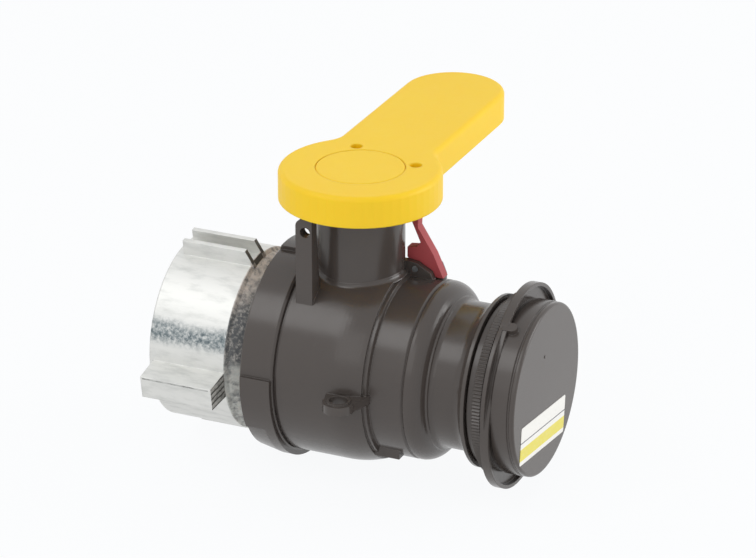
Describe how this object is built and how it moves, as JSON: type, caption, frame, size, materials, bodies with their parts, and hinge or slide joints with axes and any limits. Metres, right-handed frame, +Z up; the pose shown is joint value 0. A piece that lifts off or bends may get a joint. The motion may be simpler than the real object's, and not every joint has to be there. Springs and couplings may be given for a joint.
{
  "type": "tank outlet ball valve",
  "caption": "Moulded quarter-turn ball valve for a bulk liquid tank, with a loose cast union nut, flat lever handle, handle latch and screwed dust cap on its outlet.",
  "frame": {"origin": "centre of the union nut's open face, on the pipe axis", "axes": "+X along the flow from the tank to the outlet, +Z up the stem, +Y the way the grip points when the valve is closed"},
  "size_m": [0.1554, 0.1662, 0.1249],
  "materials": {
    "body_black": "satin moulded",
    "nut_metal": "bright die-cast",
    "handle_yellow": "smooth moulded",
    "latch_red": "smooth moulded",
    "rubber": "matte",
    "seat_white": "smooth turned",
    "stem_grey": "smooth moulded",
    "steel": "plain"
  },
  "bodies": {
    "valve": {"valve_body": "body_black", "inlet_collar": "body_black", "collar_o_ring": "rubber", "nut_retaining_ring": "seat_white", "inlet_gasket": "rubber", "inlet_seat": "seat_white", "outlet_seat": "seat_white", "inlet_seat_ring": "rubber", "outlet_seat_ring": "rubber", "thrust_washer": "seat_white", "stem_bush": "seat_white", "latch_pin": "steel", "latch_spring": "steel", "tamper_ring": "body_black"},
    "handle": {"handle": "handle_yellow", "hub_cover": "handle_yellow", "handle_screw": "steel", "handle_washer": "steel", "stem": "stem_grey", "stem_o_rings": "rubber", "ball": "stem_grey"},
    "nut": {"union_nut": "nut_metal"},
    "latch": {"lock_latch": "latch_red"},
    "cap_liner": {"cap_gasket": "rubber"},
    "cap": {"dust_cap": "body_black"}
  },
  "joints": [
    {"name": "handle_turn", "type": "hinge", "parent": "valve", "child": "handle", "pos_m": [0.0758, 0, 0], "axis": [0, 0, -1], "range_deg": [0, 90]},
    {"name": "nut_spin", "type": "hinge", "parent": "valve", "child": "nut", "pos_m": [0, 0, 0], "axis": [1, 0, 0], "continuous": true},
    {"name": "latch_press", "type": "hinge", "parent": "valve", "child": "latch", "pos_m": [0.09689, 0.01032, 0.0391], "axis": [0, -1, 0], "range_deg": [0, 3.7], "stiffness_Nm_per_rad": 0.02, "deforming": ["latch_spring"]},
    {"name": "cap_advance", "type": "slide", "parent": "valve", "child": "cap_liner", "axis": [1, 0, 0], "range_m": [0, 0.01201]},
    {"name": "cap_turn", "type": "hinge", "parent": "cap_liner", "child": "cap", "pos_m": [0.1422, 0, 0], "axis": [1, 0, 0], "range_deg": [0, 720]}
  ],
  "couplings": [
    {"joint": "cap_advance", "follows": "cap_turn", "m_per_rad": 0.00095493}
  ]
}
